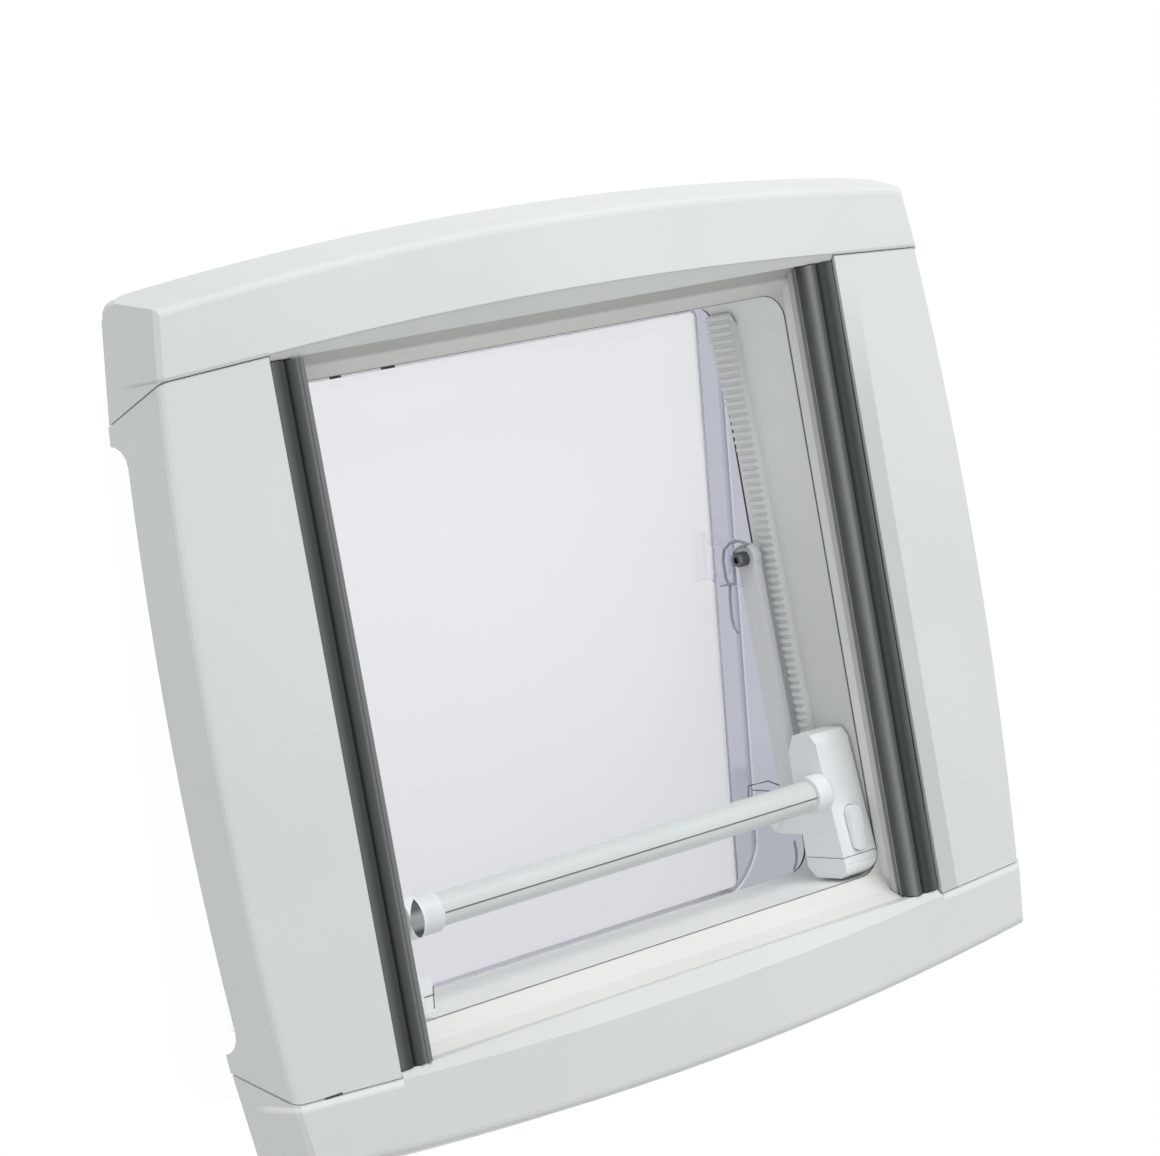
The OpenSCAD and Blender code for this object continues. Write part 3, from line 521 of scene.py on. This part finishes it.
def bracket_rim(side, sign):
    """Raised double rim on the bracket: two arcs round the screw, a cross bar and a curved leg."""
    place = pivot_on_bracket(side, sign) + Vector((sign * 2 * MM, 0, 0))
    outer_arc = ((8.7, -12), (11, -3), (10, 5), (6.3, 11.3), (0.5, 13.8), (-10.7, 14.1), (-15, 11.5))
    inner_arc = ((7.7, -9), (7, -2), (5, 2.5), (1.3, 4.4), (-4.5, 5), (-14.6, 6.6))
    cross_bar = ((-14.6, 20), (-14.2, 13), (-13.3, 6.5))
    leg = ((-14.9, 11.5), (-22, 13.4), (-34, 15), (-39.5, 14), (-42.7, 11))
    shape = bmesh.new()
    for line, radius in ((outer_arc, 0.9), (inner_arc, 0.85), (cross_bar, 0.6), (leg, 0.9)):
        tube(shape, [place + Vector((0, y, z)) * MM for y, z in line], radius * MM)
    piece(f"bracket_rim_{side}", shape, "dome", "rim")


def catch_rim():
    """Dark outline of a small clear loop that lies on the dome's flange beside the right catch."""
    low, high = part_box("catch_loop_right")
    place = Vector((low.x, (low.y + high.y) / 2, low.z + 1.5 * MM))
    loop = ((1.3, -8.7), (-0.1, -2.2), (-15.9, -2.8), (-28.7, -10.2), (-27.4, -12.3))
    crease = ((-2.6, -5.3), loop[-1])
    shape = bmesh.new()
    for line, radius in ((loop, 0.5), (crease, 0.4)):
        tube(shape, [place + Vector((x, y, 0)) * MM for x, y in line], radius * MM, steps=6)
    piece("catch_rim_right", shape, "dome", "rim")


def rail_bead():
    """Round bead along the inner edge of the left guide rail."""
    low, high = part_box("guide_rail_left")
    level, radius = low.z + 1.1 * MM, 1.5 * MM
    shape = bmesh.new()
    tube(shape, [Vector((low.x, y, level)) for y in (low.y, high.y)], radius, steps=16)
    piece("rail_bead_left", shape, "frame", "rail")


def bar_seam():
    """Thin line where the two halves of the handle bar's cover meet."""
    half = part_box("bar_socket_left")[0].x
    sunk, radius = 0.1 * MM, 0.42 * MM
    outwards = Vector((0, math.cos(SEAM), math.sin(SEAM)))
    middle = Vector((0, BAR.y, BAR.z)) + outwards * (BAR_RADIUS - sunk)
    shape = bmesh.new()
    tube(shape, [middle + Vector((x, 0, 0)) for x in (-half, half)], radius)
    piece("bar_seam", shape, "carriage", "line")


def bar_sleeve():
    """Collar at the bar's left end, with a small chamfer at its rim."""
    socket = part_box("bar_socket_left")[0].x
    start, end = socket - 12 * MM, socket + 0.5 * MM
    bore, outside, chamfer = BAR_RADIUS - 0.3 * MM, BAR_RADIUS + 2.0 * MM, 0.7 * MM
    profile = ((start, bore), (start, outside - chamfer), (start + chamfer, outside),
               (end, outside), (end, bore))
    shape = bmesh.new()
    turned(shape, profile, Vector((0, BAR.y, BAR.z)), X, steps=48)
    piece("bar_sleeve_left", shape, "carriage", "sleeve")


def sleeve_recess_shade():
    """Half-moon of painted shade, a thin grey sheet on the room side of the left socket, where it is hollowed
    for a fingertip.
    """
    low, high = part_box("bar_socket_left")
    start, depth, thinnest = low.x + 2 * MM, 8 * MM, 0.1 * MM
    first, last, step = 205, 335, 5
    radius = (high.z - low.z) / 2
    inside, outside = radius - 0.3 * MM, radius + 0.08 * MM
    rim = math.sin(math.radians(last))
    rings = []
    shape = bmesh.new()
    for degrees in range(first, last + 1, step):
        y, z = math.cos(math.radians(degrees)), math.sin(math.radians(degrees))
        width = depth * (z - rim) / (-1 - rim) + thinnest
        section = ((0, inside), (0, outside), (width, outside), (width, inside))
        rings.append([shape.verts.new(Vector((start + x, BAR.y + r * y, BAR.z + r * z))) for x, r in section])
    skin_over(shape, rings)
    piece("sleeve_recess_left", shape, "carriage", "hollow")


def cap_edge():
    """Thin plate at the left housing's inner corner, with lines at the end cap's joint and its inner edge."""
    low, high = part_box("housing_cap_left")
    # the plate's inner edge, the end cap's joint and the plate's face towards the room
    place = Vector((low.x - 6.5 * MM, high.y - 1.5 * MM, low.z + 0.6 * MM))
    width, thickness, radius = 9.5, 1.6, 0.35 * MM
    shape = bmesh.new()
    block(shape, place + Vector((0, -9, 0)) * MM, place + Vector((width, 10, thickness)) * MM)
    piece("cap_edge_left", shape, "carriage", "slider", smooth=False)
    joint, edge = ((1, 0), (width, 0)), ((0, 4.5), (1.6, -7))
    shape = bmesh.new()
    for line in (joint, edge):
        tube(shape, [place + Vector((x, y, 0)) * MM for x, y in line], radius, steps=6)
    piece("cap_line_left", shape, "carriage", "line")


def shaft_groove():
    """Shadow line in the fine groove round the shaft's end towards the room."""
    half_x, half_y, corner, behind_wall = 171.5 * MM, 167 * MM, 14 * MM, 0.4 * MM
    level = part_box("light_shaft")[0].z + 0.2 * MM
    section = ((-0.7, -0.6), (0.35, -0.6), (0.35, 0.35), (-0.7, 0.35))
    shape = bmesh.new()
    rings = []
    for turn, x, y in ((0, 1, 1), (90, -1, 1), (180, -1, -1), (270, 1, -1)):
        middle = Vector((x * (half_x - corner), y * (half_y - corner), level))
        for degrees in range(turn, turn + 91, 10):
            angle = math.radians(degrees)
            outwards = Vector((math.cos(angle), math.sin(angle), 0))
            edge = middle + outwards * (corner + behind_wall)
            rings.append([shape.verts.new(edge + outwards * out * MM + Vector((0, 0, up * MM)))
                          for out, up in section])
    skin_over(shape, rings, closed=True)
    piece("shaft_groove", shape, "frame", "line", smooth=False)


def flange_rib():
    """Short dark curved rib on the dome's flange at the right corner of the handle side."""
    below_top, radius = 2.6, 0.9 * MM
    spots = []
    for x, y in ((-213, -163), (-214, -170), (-213.5, -176), (-211, -181)):
        level = (FLANGE_TOP - below_top - y * DOME_UP.y) / DOME_UP.z
        spots.append(Vector((x, y, level)) * MM)
    shape = bmesh.new()
    tube(shape, spots, radius)
    piece("flange_rib_right", shape, "dome", "rim")


def pane_pads():
    """Two small dark pads between the pane's hinge side and the frame."""
    shape = bmesh.new()
    for start, end in ((52, 60), (87, 93)):
        block(shape, Vector((start, 164.7, 24.5)) * MM, Vector((end, 166.5, 26.5)) * MM)
    piece("pane_pads", shape, "frame", "dark", smooth=False)


def release_slit():
    """Narrow slit beside the joint at the handle side, where a flat tool frees the cover: a dark block of
    painted shade inside the slit.
    """
    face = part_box("side_cover_left")[0].z / MM
    shape = bmesh.new()
    block(shape, Vector((222, -180.2, face - 0.4)) * MM, Vector((232, -179.4, face + 0.2)) * MM)
    piece("release_slit", shape, "frame", "dark", smooth=False)


set_camera()
scene.view_settings.view_transform = "Standard"
set_world(strength=0.64)
area_lamp("key", at=(-0.4, 1.77, -1.85), size=1.3, watts=36)
area_lamp("fill", at=(1.5, -0.3, -1.7), size=1.6, watts=4.2)
area_lamp("side", at=(2.6, 0, -0.12), size=1.0, watts=4.0)
lay_floor()
dress_nodes()
for side, sign in (("left", 1), ("right", -1)):
    pivot_screw(side, sign)
    bracket_rim(side, sign)
catch_rim()
rail_bead()
bar_seam()
bar_sleeve()
sleeve_recess_shade()
cap_edge()
shaft_groove()
flange_rib()
pane_pads()
release_slit()
